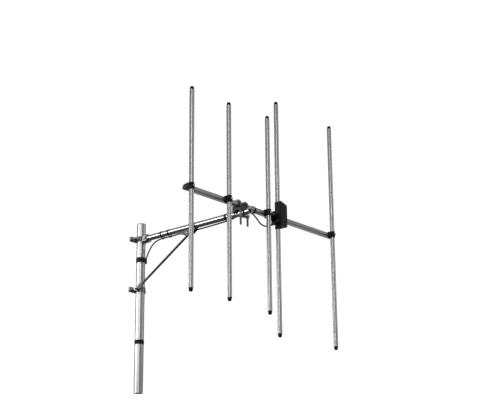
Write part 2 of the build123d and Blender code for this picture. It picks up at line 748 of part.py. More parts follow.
clamp_rear, clamp_near = dipole_place - 29.0, dipole_place - 7.0
back_clamp_y = boom_reach - boom_radius - 4.0
with BuildPart() as dipole_back_clamp:
    with BuildSketch(along_x(clamp_rear, boom_reach, boom_height)):
        with Locations((-(4.0 + boom_radius) / 2 + 5.5, 0)):
            Rectangle(boom_radius + 15.0, 56)
    extrude(amount=clamp_near - clamp_rear)
    fillet(dipole_back_clamp.faces().sort_by(Axis.Y)[0].edges().filter_by(Axis.X), 6)
    with BuildSketch(along_y(0, housing_back, boom_height)):
        Rectangle(1000, 200)
    extrude(amount=60, mode=Mode.SUBTRACT)
    with BuildSketch(along_x(clamp_rear - 1, boom_reach, boom_height)):
        Circle(boom_radius + fit_gap)
    extrude(amount=60, mode=Mode.SUBTRACT)
    for x, z in back_screw_places:
        with BuildSketch(along_y(x, boom_reach - 40, z)):
            Circle(back_screw_radius + fit_gap)
        extrude(amount=80, mode=Mode.SUBTRACT)
save(dipole_back_clamp.part, "dipole_back_clamp")

back_clamp_face = dipole_back_clamp.part.bounding_box().min.Y
clamp_screws = []
for x, z in back_screw_places:
    seat = Plane(origin=(x, back_clamp_face, z), x_dir=(1, 0, 0), z_dir=(0, -1, 0))
    clamp_screws.append(pan_screw(seat, back_screw_radius, housing_back - back_clamp_face + 9.0, 4.6, 2.8))
group(clamp_screws, "dipole_clamp_screws")

rod_length = dipole_length / 2 - rod_inner_end
for name, start in (("dipole_upper_rod", boom_height + rod_inner_end),
                    ("dipole_lower_rod", boom_height - rod_inner_end - rod_length)):
    save(tube(element_radius, element_wall, rod_length, Plane(origin=(dipole_place, element_y, start))), name)

terminal_plug = 24.0
terminal_neck = 26.0
board_back = element_y + 9.0
board_thickness = 1.6
terminals = []
for side in (-1, 1):
    outward = Plane(origin=(dipole_place, element_y, boom_height + side * rod_inner_end), z_dir=(0, 0, side))
    with BuildPart() as terminal:
        with BuildSketch(outward):
            Circle(element_radius - element_wall - fit_gap)
        extrude(amount=terminal_plug)
        with BuildSketch(outward):
            Circle(5.0)
        extrude(amount=-terminal_neck)
        with BuildSketch(along_y(dipole_place, element_y, boom_height + side * (rod_inner_end - 20))):
            Rectangle(8, 8)
        extrude(amount=board_back - element_y)
        with BuildSketch(along_y(dipole_place, element_y - 10, boom_height + side * (rod_inner_end - 20))):
            Circle(2.0 + fit_gap)
        extrude(amount=30, mode=Mode.SUBTRACT)
    terminals.append(terminal.part)
group(terminals, "dipole_terminals")

with BuildPart() as feed_board:
    with BuildSketch(along_y(dipole_place - 11.5, board_back, boom_height)):
        Rectangle(30, 72)
        with Locations((11.5, rod_inner_end - 20), (11.5, 20 - rod_inner_end)):
            Circle(2.0 + fit_gap, mode=Mode.SUBTRACT)
    extrude(amount=board_thickness)
save(feed_board.part, "feed_board")
group([pan_screw(along_y(dipole_place, board_back + board_thickness, boom_height + side * (rod_inner_end - 20)),
                 2.0, 12.0, 3.8, 2.2) for side in (-1, 1)], "feed_screws")

with BuildPart() as balun_core:
    with BuildSketch(Plane(origin=(dipole_place - 21, board_back - 6.5, boom_height - 14))):
        Circle(6.5)
        Circle(2.2, mode=Mode.SUBTRACT)
    extrude(amount=28)
save(balun_core.part, "balun_core")

gland_length = 20.0
with BuildPart() as cable_gland:
    with BuildSketch(gland_tilt.offset(-3.5)):
        Circle(gland_thread)
    extrude(amount=3.5 + gland_boss_height)
    with BuildSketch(gland_tilt.offset(gland_boss_height)):
        RegularPolygon(8.0, 6, major_radius=False)
    extrude(amount=gland_nut_height)
    with BuildSketch(gland_tilt.offset(gland_boss_height + gland_nut_height)):
        Circle(7.6)
    extrude(amount=gland_length - gland_boss_height - gland_nut_height)
    fillet(outermost(cable_gland, gland_tilt), 2.5)
    with BuildSketch(gland_tilt.offset(-10)):
        Circle(cable_radius + 1.6)
    extrude(amount=gland_length - 1, mode=Mode.SUBTRACT)
    with BuildSketch(gland_tilt.offset(-10)):
        Circle(cable_radius + fit_gap)
    extrude(amount=gland_length + 20, mode=Mode.SUBTRACT)
save(cable_gland.part, "cable_gland")
with BuildPart() as gland_seal:
    with BuildSketch(gland_tilt.offset(-1)):
        Circle(cable_radius + 1.5)
        Circle(cable_radius + fit_gap, mode=Mode.SUBTRACT)
    extrude(amount=9)
save(gland_seal.part, "gland_seal")

# ---------------------------------------------------------------- end caps of the elements
end_head = 15.0
end_plug = 16.0
ends = [(element_places[name], side * element_lengths[name] / 2)
        for name in element_places for side in (-1, 1)]
ends += [(dipole_place, side * dipole_length / 2) for side in (-1, 1)]
group([tube_cap(element_radius, element_wall,
                Plane(origin=(x, element_y, boom_height + rise), z_dir=(0, 0, 1 if rise > 0 else -1)),
                end_head, end_plug) for x, rise in ends], "element_end_caps")

# ---------------------------------------------------------------- coaxial cable
gland_exit = gland_face + gland_tilt.z_dir * (gland_length - 2)
split_point = (-64.0, 552.4, 676.0)
boom_route = [tuple(gland_exit), (-165.7, 586.8, 639.0), (-151.0, 578.0, 630.5), (-136.0, 571.0, 630.0),
              (-121.5, 565.0, 636.5), (-109.5, 560.5, 651.5), (-99.5, 556.5, 664.0), (-88.5, 553.3, 672.5),
              (-75.5, 552.4, 676.0), split_point]
arm_route = [split_point, (-52.0, 552.4, 676.0), (-40.9, 548.6, 672.4), (-32.5, 541.3, 665.6),
             (-28.0, 529.4, 657.6), (-21.0, 513.0, 649.0), (-12.5, 495.5, 641.5),
             (-6.5, 476.0, 638.2), (-5.5, 436.0, 637.2), (-8.5, 388.0, 637.2), (-15.0, 344.0, 640.0),
             (-19.3, 314.0, 641.5), (-19.3, 280.0, 643.5), (-17.6, 244.0, 644.0), (-13.0, 208.0, 641.5),
             (-7.0, 170.0, 637.6), (-4.5, 128.0, 637.8), (-4.8, 100.0, 636.0),
             (-6.3, 80.0, 631.5), (-9.6, 60.0, 623.0), (-14.0, 40.5, 609.0), (-18.6, 25.0, 594.0),
             (-22.0, 11.0, 577.0), (-23.3, -1.5, 557.0), (-21.8, -11.0, 533.0), (-17.6, -17.0, 508.0),
             (-13.2, -21.5, 484.0), (-10.8, -26.0, 464.0), (-10.0, -29.2, 445.0), (-10.0, -29.4, 424.0),
             (-10.4, -26.6, 405.0), (-10.9, -23.0, 384.0), (-11.6, -21.2, 354.0), (-12.6, -20.4, 308.0),
             (-14.0, -19.6, 260.0), (-15.4, -18.6, 212.0), (-16.8, -18.0, 166.0), (-18.4, -18.9, 128.0),
             (-19.8, -20.2, 100.0)]


def corner_radii(route):
    """Radius of the arc at each corner: 0.45 of the shorter run over the tangent of half the turn."""
    points = [Vector(*point) for point in route]
    radii = []
    for before, corner, after in zip(points, points[1:], points[2:]):
        arriving, leaving = corner - before, after - corner
        half_turn = radians(arriving.get_angle(leaving) / 2)
        radii.append(0.45 * min(arriving.length, leaving.length) / tan(half_turn))
    return radii


def cable(route, name):
    """Sweeps the cable along straight runs joined by tangent arcs and prints what it measures."""
    radii = corner_radii(route)
    with BuildPart() as made:
        with BuildLine() as path:
            FilletPolyline(*route, radius=radii)
        first = Vector(*route[1]) - Vector(*route[0])
        with BuildSketch(Plane(origin=route[0], z_dir=first)):
            Circle(cable_radius)
        sweep()
    length = sum(edge.length for edge in path.edges())
    share = made.part.volume / (pi * cable_radius ** 2 * length)
    print(name, "length", round(length, 1), "volume share", round(share, 4),
          "radii", [round(radius) for radius in radii])
    save(made.part, name)


cable(boom_route, "cable_boom")
cable(arm_route, "cable_arm")


def band(plane, circles, sheet, width):
    """Band pulled tight round circles (local x, local y, radius) on a plane, a given width along it."""
    with BuildPart() as made:
        for swell, mode in ((sheet, Mode.ADD), (0.0, Mode.SUBTRACT)):
            with BuildSketch(plane):
                with BuildLine():
                    for x, y, radius in circles:
                        CenterArc((x, y), radius + swell, 0, 360)
                make_hull()
            extrude(amount=width, mode=mode)
    return made.part


cable_clear = cable_radius + 0.1
tape_sheet, tie_sheet = 0.8, 1.3
mast_clear = mast_radius + running_gap
upper_tape = band(Plane.XY.offset(552.0), [(0, 0, mast_clear), (-22.3, 9.0, cable_clear),
                                           (-23.0, -3.4, cable_clear)], tape_sheet, 22.0)
lower_tape = band(Plane.XY.offset(202.5), [(0, 0, mast_clear), (-15.4, -18.6, cable_clear)],
                  tape_sheet, 18.0)
group([upper_tape, lower_tape], "mast_tapes")

arm_clear = arm_radius + fit_gap
save(band(along_y(0, 486.0, arm_height), [(0, 0, arm_clear), (-9.6, 14.2, cable_clear),
                                          (-13.8, 11.3, cable_clear)], tape_sheet, 12.0), "arm_cable_tape")
group([band(along_y(0, y - 2.5, arm_height), [(0, 0, arm_clear), (x, arm_height - z, cable_clear + 0.2)],
            tie_sheet, 5.0) for x, y, z in ((-4.5, 128.0, 637.8), (-7.0, 170.0, 637.6))],
      "arm_cable_ties")
save(band(along_x(-79.0, boom_reach, boom_height), [(0, 0, boom_radius + fit_gap), (-13.6, -7.9, cable_clear),
                                                    (-13.6, -9.1, cable_clear)], tie_sheet, 8.0),
     "boom_cable_tie")

cable_end = Vector(*arm_route[-1])
end_plane = Plane(origin=cable_end, x_dir=(1, 0, 0), z_dir=(cable_end - Vector(*arm_route[-2])).normalized())
boot_length = 28.0
with BuildPart() as cable_connector_boot:
    with BuildSketch(end_plane):
        Circle(4.2)
    with BuildSketch(end_plane.offset(boot_length)):
        Circle(5.6)
    loft()
save(cable_connector_boot.part, "cable_connector_boot")

connector_plane = end_plane.offset(boot_length)
with BuildPart() as cable_connector:
    for start, radius, length in ((0.0, 6.6, 10.0), (15.0, 7.9, 17.0)):
        with BuildSketch(connector_plane.offset(start)):
            Circle(radius)
        extrude(amount=length)
    with BuildSketch(connector_plane.offset(10.0)):
        RegularPolygon(8.0, 6, major_radius=False)
    extrude(amount=5.0)
    with BuildSketch(connector_plane.offset(21.0)):
        Circle(6.0)
        Circle(1.6, mode=Mode.SUBTRACT)
    extrude(amount=12.0, mode=Mode.SUBTRACT)
save(cable_connector.part, "cable_connector")
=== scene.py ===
import json
import math

import bmesh
import bpy
from mathutils import Matrix, Vector


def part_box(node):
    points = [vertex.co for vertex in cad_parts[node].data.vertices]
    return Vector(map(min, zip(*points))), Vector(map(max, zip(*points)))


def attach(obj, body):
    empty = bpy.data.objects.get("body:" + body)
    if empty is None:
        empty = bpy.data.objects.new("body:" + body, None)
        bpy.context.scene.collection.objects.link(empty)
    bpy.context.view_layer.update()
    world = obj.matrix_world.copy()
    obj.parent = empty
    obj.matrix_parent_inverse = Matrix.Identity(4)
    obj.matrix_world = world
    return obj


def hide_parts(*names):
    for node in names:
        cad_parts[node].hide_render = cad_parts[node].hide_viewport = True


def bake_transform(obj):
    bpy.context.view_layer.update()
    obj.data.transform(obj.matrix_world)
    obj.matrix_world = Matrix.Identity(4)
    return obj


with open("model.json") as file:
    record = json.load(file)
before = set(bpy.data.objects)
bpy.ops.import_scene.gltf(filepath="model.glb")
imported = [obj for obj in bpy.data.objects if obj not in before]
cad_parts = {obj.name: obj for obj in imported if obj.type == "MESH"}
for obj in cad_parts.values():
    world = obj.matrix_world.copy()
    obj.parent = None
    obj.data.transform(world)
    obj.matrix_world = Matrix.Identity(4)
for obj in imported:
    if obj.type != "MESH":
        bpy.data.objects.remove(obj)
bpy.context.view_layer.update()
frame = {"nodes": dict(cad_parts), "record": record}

nodes = frame["nodes"]
scene = bpy.context.scene
MM = 0.001  # one millimetre, in metres


# ---------------------------------------------------------------- material helpers
def new_material(name):
    """A new material, its node tree and its Principled shader."""
    mat = bpy.data.materials.new(name)
    mat.use_nodes = True
    tree = mat.node_tree
    return mat, tree, tree.nodes["Principled BSDF"]


def coordinates(tree, stretch=(1.0, 1.0, 1.0)):
    """Object coordinates, in metres, scaled by stretch."""
    source = tree.nodes.new("ShaderNodeTexCoord")
    mapping = tree.nodes.new("ShaderNodeMapping")
    mapping.inputs["Scale"].default_value = stretch
    tree.links.new(source.outputs["Object"], mapping.inputs["Vector"])
    return mapping.outputs["Vector"]


def stretched(along, on_axis, off_axis=1.0):
    """Scales for coordinates, one on an axis and another on the two that cross it."""
    return tuple(on_axis if axis == along else off_axis for axis in "xyz")


def noise(tree, scale, detail, rough, stretch=(1.0, 1.0, 1.0)):
    """A noise value at a scale per metre, over coordinates scaled by stretch."""
    made = tree.nodes.new("ShaderNodeTexNoise")
    made.inputs["Scale"].default_value = scale
    made.inputs["Detail"].default_value = detail
    made.inputs["Roughness"].default_value = rough
    tree.links.new(coordinates(tree, stretch), made.inputs["Vector"])
    return made.outputs["Fac"]


def ramp(tree, value, stops):
    """Value through a colour ramp with (position, grey or colour) stops."""
    made = tree.nodes.new("ShaderNodeValToRGB")
    tree.links.new(value, made.inputs["Fac"])
    band = made.color_ramp
    while len(band.elements) < len(stops):
        band.elements.new(0.5)
    for element, (position, colour) in zip(band.elements, stops):
        element.position = position
        if not hasattr(colour, "__len__"):
            colour = (colour, colour, colour)
        element.color = (*colour, 1.0)
    return made.outputs["Color"]


def math_node(tree, operation, first, second):
    """One arithmetic step; either operand may be a number."""
    made = tree.nodes.new("ShaderNodeMath")
    made.operation = operation
    for socket, operand in zip(made.inputs, (first, second)):
        if isinstance(operand, (int, float)):
            socket.default_value = operand
        else:
            tree.links.new(operand, socket)
    return made.outputs[0]


def between(tree, value, low, high):
    """A value from 0 to 1, taken to the range from low to high."""
    return math_node(tree, "ADD", math_node(tree, "MULTIPLY", value, high - low), low)


def blended(tree, share, first, second, mode="MIX"):
    """Two colours mixed by a share."""
    made = tree.nodes.new("ShaderNodeMix")
    made.data_type = "RGBA"
    made.blend_type = mode
    pairs = ((made.inputs[0], share), (made.inputs[6], first), (made.inputs[7], second))
    for socket, operand in pairs:
        if isinstance(operand, (int, float)):
            socket.default_value = operand
        elif isinstance(operand, tuple):
            socket.default_value = (*operand, 1.0)
        else:
            tree.links.new(operand, socket)
    return made.outputs[2]


def overlaid(tree, value, start, full, share, base, colour):
    """A colour laid over a base: not at all below start, and by a share above full."""
    return blended(tree, ramp(tree, value, [(start, 0.0), (full, share)]), base, colour)


def dress(tree, shader, colour, gloss, metallic=0.0):
    """Gives a shader its colour, roughness and metalness."""
    tree.links.new(colour, shader.inputs["Base Color"])
    tree.links.new(gloss, shader.inputs["Roughness"])
    shader.inputs["Metallic"].default_value = metallic


def bump(tree, shader, height, distance, strength, under=None):
    """Adds a bump, its distance in metres, to a shader's normal and returns its output."""
    made = tree.nodes.new("ShaderNodeBump")
    made.inputs["Distance"].default_value = distance
    made.inputs["Strength"].default_value = strength
    tree.links.new(height, made.inputs["Height"])
    if under is not None:
        tree.links.new(under, made.inputs["Normal"])
    tree.links.new(made.outputs["Normal"], shader.inputs["Normal"])
    return made.outputs["Normal"]


def grey(value, tint=(1.0, 1.0, 1.0)):
    """A grey of a given value with a slight tint."""
    return tuple(value * part for part in tint)


# ---------------------------------------------------------------- materials
def drawn_tube(name, along, light=0.86, dark=0.78, rough=(0.25, 0.275)):
    """Drawn tube: fine lines along its length, a dull oxide bloom and faint specks."""
    mat, tree, shader = new_material(name)
    lengthwise = stretched(along, 0.02)
    lines = noise(tree, 2600.0, 3.0, 0.6, lengthwise)
    wide_lines = noise(tree, 520.0, 2.0, 0.5, lengthwise)
    bloom = noise(tree, 46.0, 5.0, 0.62)
    specks = noise(tree, 900.0, 2.0, 0.5)
    line_tone = ramp(tree, lines, [(0.25, grey(dark)), (0.75, grey(light))])
    wide_tone = ramp(tree, wide_lines, [(0.3, grey(dark * 1.05)), (0.7, grey(light))])
    tone = blended(tree, 0.5, line_tone, wide_tone)
    worn = overlaid(tree, bloom, 0.4, 0.8, 0.3, tone, grey(dark * 0.90, (0.985, 1.0, 1.01)))
    spotted = overlaid(tree, specks, 0.74, 0.86, 0.12, worn, grey(dark * 0.7))
    gloss = between(tree, bloom, *rough)
    line_gloss = math_node(tree, "MULTIPLY", lines, 0.012)
    dress(tree, shader, spotted, math_node(tree, "ADD", gloss, line_gloss), 1.0)
    bump(tree, shader, lines, 0.00002, 0.03)
    return mat


def galvanised(name, light=0.72, dark=0.58, rough=(0.24, 0.38), relief=1.0):
    """Hot-dip zinc: dull crystalline mottling, a low swell, fine pits and grime in them."""
    mat, tree, shader = new_material(name)
    crystal = tree.nodes.new("ShaderNodeTexVoronoi")
    crystal.inputs["Scale"].default_value = 150.0
    tree.links.new(coordinates(tree), crystal.inputs["Vector"])
    flake = tree.nodes.new("ShaderNodeSeparateColor")
    tree.links.new(crystal.outputs["Color"], flake.inputs["Color"])
    cloud = noise(tree, 60.0, 6.0, 0.6)
    grain = noise(tree, 1500.0, 2.0, 0.5)
    swell = noise(tree, 45.0, 1.0, 0.4)
    tone = ramp(tree, flake.outputs["Red"], [(0.1, grey(dark)), (0.9, grey(light))])
    cloudy = ramp(tree, cloud, [(0.3, grey(dark * 0.92)), (0.72, grey(light * 1.02))])
    mixed = blended(tree, 0.55, tone, cloudy)
    dull = overlaid(tree, grain, 0.6, 0.8, 0.3 * relief, mixed, grey(dark * 0.6))
    dress(tree, shader, dull, between(tree, flake.outputs["Green"], *rough), 1.0)
    swollen = bump(tree, shader, swell, 0.0002, 0.20 * relief)
    bump(tree, shader, grain, 0.00004, 0.12 * relief, swollen)
    return mat


def plated(name, light=0.70, dark=0.52, tint=(1.0, 1.0, 1.02), rough=(0.18, 0.34)):
    """Zinc, tin or nickel plate on small turned parts, with handling marks."""
    mat, tree, shader = new_material(name)
    cloud = noise(tree, 240.0, 5.0, 0.6)
    fine = noise(tree, 2600.0, 2.0, 0.5)
    tone = ramp(tree, cloud, [(0.28, grey(dark, tint)), (0.72, grey(light, tint))])
    marked = overlaid(tree, fine, 0.62, 0.8, 0.4, tone, grey(dark * 0.55, tint))
    dress(tree, shader, marked, between(tree, cloud, *rough), 1.0)
    bump(tree, shader, fine, 0.00003, 0.35)
    return mat


def cast(name, light=0.34, dark=0.22):
    """Sand-textured casting with a dull oxide skin."""
    mat, tree, shader = new_material(name)
    sand = noise(tree, 1300.0, 4.0, 0.65)
    cloud = noise(tree, 90.0, 4.0, 0.6)
    tone = ramp(tree, cloud, [(0.3, grey(dark)), (0.7, grey(light))])
    pits = ramp(tree, sand, [(0.3, 0.5), (0.5, 0.0)])
    pitted = blended(tree, pits, tone, grey(dark * 0.5))
    dress(tree, shader, pitted, between(tree, sand, 0.42, 0.67), 0.85)
    uneven = bump(tree, shader, cloud, 0.0004, 0.3)
    bump(tree, shader, sand, 0.00012, 0.6, uneven)
    return mat


def coated_sheet(name, light=0.13, dark=0.07):
    """Dark coated steel sheet, orange-peel finish."""
    mat, tree, shader = new_material(name)
    peel = noise(tree, 700.0, 2.0, 0.5)
    cloud = noise(tree, 110.0, 4.0, 0.6)
    tone = ramp(tree, cloud, [(0.3, grey(dark)), (0.7, grey(light))])
    dress(tree, shader, tone, between(tree, cloud, 0.3, 0.5), 0.4)
    bump(tree, shader, peel, 0.00008, 0.5)
    return mat


def moulded(name, light=0.012, dark=0.005, rough=(0.34, 0.5), grain_scale=1700.0, depth=0.00005):
    """Moulded plastic or rubber: fine spark-eroded grain, faint clouding and dusty scuffs."""
    mat, tree, shader = new_material(name)
    grain = noise(tree, grain_scale, 3.0, 0.6)
    cloud = noise(tree, 55.0, 5.0, 0.6)
    scuff = noise(tree, 420.0, 3.0, 0.6, stretched("z", 0.25))
    tone = ramp(tree, cloud, [(0.3, grey(dark)), (0.72, grey(light, (1.0, 1.0, 1.03)))])
    dusty = overlaid(tree, scuff, 0.62, 0.85, 0.5, tone, grey(light * 2.0))
    dress(tree, shader, dusty, between(tree, cloud, *rough))
    shader.inputs["IOR"].default_value = 1.48
    shader.inputs["Specular IOR Level"].default_value = 0.35
    bump(tree, shader, grain, depth, 0.6)
    return mat


def wrapped_tape(name, along):
    """Self-bonding tape: overlapping turns along an axis, rubbery, with small creases."""
    mat, tree, shader = new_material(name)
    turns = tree.nodes.new("ShaderNodeTexWave")
    turns.wave_type = "BANDS"
    turns.bands_direction = along.upper()
    turns.wave_profile = "SAW"
    turns.inputs["Scale"].default_value = 48.0
    turns.inputs["Distortion"].default_value = 0.6
    turns.inputs["Detail"].default_value = 1.0
    tree.links.new(coordinates(tree), turns.inputs["Vector"])
    step = turns.outputs["Fac"]
    crease = noise(tree, 900.0, 3.0, 0.6, stretched(along, 1.0, 0.12))
    tone = ramp(tree, step, [(0.0, grey(0.006)), (0.2, grey(0.012)), (1.0, grey(0.016))])
    dusty = overlaid(tree, crease, 0.6, 0.9, 0.5, tone, grey(0.04))
    dress(tree, shader, dusty, between(tree, crease, 0.42, 0.62))
    stepped = bump(tree, shader, step, 0.0004, 0.7)
    bump(tree, shader, crease, 0.0001, 0.5, stepped)
    return mat


def sheath(name):
    """Extruded PVC sheath: satin black with a fine grain and a few pale scuffs."""
    mat, tree, shader = new_material(name)
    grain = noise(tree, 1400.0, 3.0, 0.6)
    cloud = noise(tree, 130.0, 5.0, 0.6)
    tone = ramp(tree, cloud, [(0.3, grey(0.006)), (0.75, grey(0.014))])
    scuffed = overlaid(tree, grain, 0.70, 0.86, 0.35, tone, grey(0.05))
    dress(tree, shader, scuffed, between(tree, cloud, 0.30, 0.48))
    bump(tree, shader, grain, 0.00004, 0.45)
    return mat


def laminate(name):
    """Green coated circuit board with a faint weave and copper tracks under the coat."""
    mat, tree, shader = new_material(name)
    weave = tree.nodes.new("ShaderNodeTexChecker")
    weave.inputs["Scale"].default_value = 1400.0
    tree.links.new(coordinates(tree), weave.inputs["Vector"])
    cloud = noise(tree, 200.0, 2.0, 0.5)
    tracks = ramp(tree, cloud, [(0.48, (0.02, 0.11, 0.05)), (0.50, (0.06, 0.20, 0.08))])
    woven = blended(tree, 0.12, tracks, weave.outputs["Color"], "MULTIPLY")
    dress(tree, shader, woven, between(tree, cloud, 0.18, 0.33))
    bump(tree, shader, weave.outputs["Fac"], 0.00002, 0.3)
    return mat


# The look of each material slot in the record.
looks = {
    "galvanised": galvanised("galvanised"),
    "zinc_fastener": plated("zinc_fastener"),
    "bare_aluminium": drawn_tube("bare_aluminium_z", "z"),
    "brace_steel": galvanised("brace_steel", 0.32, 0.20, (0.36, 0.50)),
    "cast_block": cast("cast_block"),
    "saddle_lining": coated_sheet("saddle_lining"),
    "black_plastic": moulded("black_plastic"),
    "black_tape": wrapped_tape("black_tape_z", "z"),
    "cable_jacket": sheath("cable_jacket"),
    "soft_seal": moulded("soft_seal", 0.06, 0.04, (0.5, 0.65), 1000.0, 0.00008),
    "tinned_terminal": plated("tinned_terminal", 0.72, 0.52, (1.0, 0.93, 0.72)),
    "circuit_board": laminate("circuit_board"),
    "ferrite": moulded("ferrite", 0.09, 0.05, (0.55, 0.7), 2400.0, 0.00012),
    "nickel": plated("nickel", 0.78, 0.62, (1.0, 0.98, 0.93), (0.12, 0.24)),
}
# Nodes that differ from their slot's look, in tone or in the axis that they run along.
clamp_zinc = galvanised("clamp_zinc", 0.46, 0.30, (0.26, 0.38), 0.7)
special = {
    "upper_mast_strap": clamp_zinc,
    "lower_mast_strap": clamp_zinc,
    "upper_back_bar": clamp_zinc,
    "lower_back_bar": clamp_zinc,
    "arm_socket": clamp_zinc,
    # The crossover block gets a darker copy of the casting: painted shade, for the shadow it
    # sits in between the arm and the boom.
    "crossover_block": cast("painted_shade_casting", 0.17, 0.10),
    # The boom saddle gets a near-black copy of its lining: painted shade, for the shadow under
    # the boom.
    "boom_saddle": coated_sheet("painted_shade_saddle", 0.06, 0.03),
    "mast_tube": galvanised("mast_zinc", 0.84, 0.79, (0.28, 0.31), 0.2),
    "mast_top_plug": moulded("plug_grey", 0.16, 0.10, (0.40, 0.52)),
    "brace_bracket": galvanised("bracket_zinc", 0.22, 0.14, (0.38, 0.50), 0.6),
    "arm_saddle_plate": galvanised("plate_zinc", 0.58, 0.46, (0.28, 0.40), 0.6),
    # The hook bolts and their nuts are toned darker than the other plated parts.
    "hook_bolts": plated("dark_hook", 0.34, 0.20, (1.0, 1.0, 1.0), (0.30, 0.44)),
    "hook_bolt_nuts": plated("dark_hook_nut", 0.46, 0.30, (1.0, 1.0, 1.0), (0.28, 0.42)),
    "boom_front_cap": moulded("cap_grey", 0.10, 0.055, (0.32, 0.46)),
    "arm_tube": drawn_tube("bare_aluminium_y", "y", 0.88, 0.80, (0.18, 0.22)),
    "boom_tube": drawn_tube("bare_aluminium_x", "x", 0.66, 0.56, (0.40, 0.48)),
    "arm_cable_tape": wrapped_tape("black_tape_y", "y"),
}
for part in frame["record"]["subparts"]:
    owner = nodes[part["node"]]
    chosen = special.get(part["node"], looks[part["material_slot"]])
    owner.data.materials.clear()
    owner.data.materials.append(chosen)


# ---------------------------------------------------------------- mesh helpers
def frame_of(axis, hint=None):
    """Two unit vectors square to an axis."""
    axis = Vector(axis).normalized()
    hint = Vector(hint) if hint is not None else Vector((0.0, 0.0, 1.0))
    if abs(axis.dot(hint.normalized())) > 0.95:
        hint = Vector((1.0, 0.0, 0.0))
    side = axis.cross(hint).normalized()
    return side, axis.cross(side).normalized()


def ring_faces(rings, around, joined, capped):
    """Quads between rings of points; the last ring may join the first, or both be capped."""
    faces = []
    for ring in range(rings if joined else rings - 1):
        here = ring * around
        ahead = (ring + 1) % rings * around
        for k in range(around):
            after = (k + 1) % around
            faces.append((here + k, here + after, ahead + after, ahead + k))
    if capped:
        faces.append(tuple(range(around)))
        faces.append(tuple((rings - 1) * around + k for k in range(around)))
    return faces


class Shape:
    """Vertices and faces gathered from several parts of one piece."""

    def __init__(self):
        self.verts = []
        self.faces = []

    def add(self, verts, faces):
        start = len(self.verts)
        self.verts += [Vector(v) for v in verts]
        self.faces += [tuple(start + i for i in face) for face in faces]

    def lathe(self, origin, axis, profile, around, closed=False):
        """Revolves (radius, distance along the axis) about the axis."""
        origin, axis = Vector(origin), Vector(axis).normalized()
        side, up = frame_of(axis)
        verts = []
        for radius, along in profile:
            for k in range(around):
                turn = 2 * math.pi * k / around
                out = side * math.cos(turn) + up * math.sin(turn)
                verts.append(origin + axis * along + out * radius)
        self.add(verts, ring_faces(len(profile), around, closed, not closed))

    def sweep(self, points, radii, around, ratio=1.0, up_hint=None, capped=True):
        """A tube through points, its radius at each given; ratio flattens it."""
        points = [Vector(p) for p in points]
        verts = []
        side, _ = frame_of((points[1] - points[0]).normalized(), up_hint)
        for i, point in enumerate(points):
            ahead = points[min(i + 1, len(points) - 1)] - points[max(i - 1, 0)]
            ahead.normalize()
            side = (side - ahead * side.dot(ahead)).normalized()
            up = ahead.cross(side).normalized()
            for k in range(around):
                turn = 2 * math.pi * k / around
                out = side * math.cos(turn) + up * math.sin(turn) * ratio
                verts.append(point + out * radii[i])
        self.add(verts, ring_faces(len(points), around, False, capped))

    def thread(self, origin, axis, radius, length, pitch, depth):
        """A helical ridge standing on a shank of that radius, fading out at both ends."""
        steps_a_turn = 14
        root, crest = pitch * 0.44, pitch * 0.08
        origin, axis = Vector(origin), Vector(axis).normalized()
        side, up = frame_of(axis)
        turns = length / pitch
        steps = max(3, int(turns * steps_a_turn))
        verts = []
        for i in range(steps + 1):
            share = i / steps
            turn = 2 * math.pi * turns * share
            fade = min(1.0, share * turns * 1.5, (1 - share) * turns * 1.5)
            out = side * math.cos(turn) + up * math.sin(turn)
            base = origin + axis * (length * share)
            verts.append(base - axis * root + out * (radius - depth * 0.2))
            verts.append(base - axis * crest + out * (radius + depth * fade))
            verts.append(base + axis * crest + out * (radius + depth * fade))
            verts.append(base + axis * root + out * (radius - depth * 0.2))
        self.add(verts, ring_faces(steps + 1, 4, False, True))

    def box(self, centre, half, axes, round_off, steps=3):
        """A box with rounded edges, its axes given as three unit vectors."""
        bm = bmesh.new()
        bmesh.ops.create_cube(bm, size=2.0)
        for v in bm.verts:
            v.co = Vector((v.co.x * half[0], v.co.y * half[1], v.co.z * half[2]))
        bmesh.ops.bevel(bm, geom=list(bm.edges), offset=round_off, segments=steps, profile=0.5,
                        affect="EDGES")
        place = Matrix(axes).transposed()
        verts = [Vector(centre) + place @ v.co for v in bm.verts]
        bm.verts.index_update()
        faces = [tuple(v.index for v in f.verts) for f in bm.faces]
        bm.free()
        self.add(verts, faces)

    def piece(self, name, material, body, angle=40.0):
        """The gathered shape as a named mesh, smooth up to an angle, that rides on a body."""
        mesh = bpy.data.meshes.new(name)
        mesh.from_pydata([tuple(v) for v in self.verts], [], self.faces)
        mesh.validate()
        bm = bmesh.new()
        bm.from_mesh(mesh)
        bmesh.ops.remove_doubles(bm, verts=bm.verts, dist=1e-7)
        bmesh.ops.recalc_face_normals(bm, faces=bm.faces)
        bm.to_mesh(mesh)
        bm.free()
        mesh.shade_smooth()
        mesh.set_sharp_from_angle(angle=math.radians(angle))
        mesh.materials.append(material)
        obj = bpy.data.objects.new(name, mesh)
        scene.collection.objects.link(obj)
        if body:
            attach(obj, body)
        return obj


# ---------------------------------------------------------------- camera
camera_data = bpy.data.cameras.new("camera")
camera = bpy.data.objects.new("camera", camera_data)
scene.collection.objects.link(camera)
scene.camera = camera
camera_place = Vector((2.9645, 3.1582, -0.5898))
yaw, pitch, roll = math.radians(-138.864), math.radians(16.054), math.radians(-0.46)
forward = Vector((math.cos(yaw) * math.cos(pitch), math.sin(yaw) * math.cos(pitch),
                  math.sin(pitch)))
level = forward.cross(Vector((0, 0, 1))).normalized()
above = level.cross(forward)
right = level * math.cos(roll) + above * math.sin(roll)
up = above * math.cos(roll) - level * math.sin(roll)
camera.matrix_world = Matrix((right, up, -forward)).transposed().to_4x4()
camera.matrix_world.translation = camera_place
camera_data.lens = 78.28
camera_data.sensor_width = 36.0
camera_data.shift_y = 0.0706
camera_data.clip_start = 0.05
camera_data.clip_end = 100.0

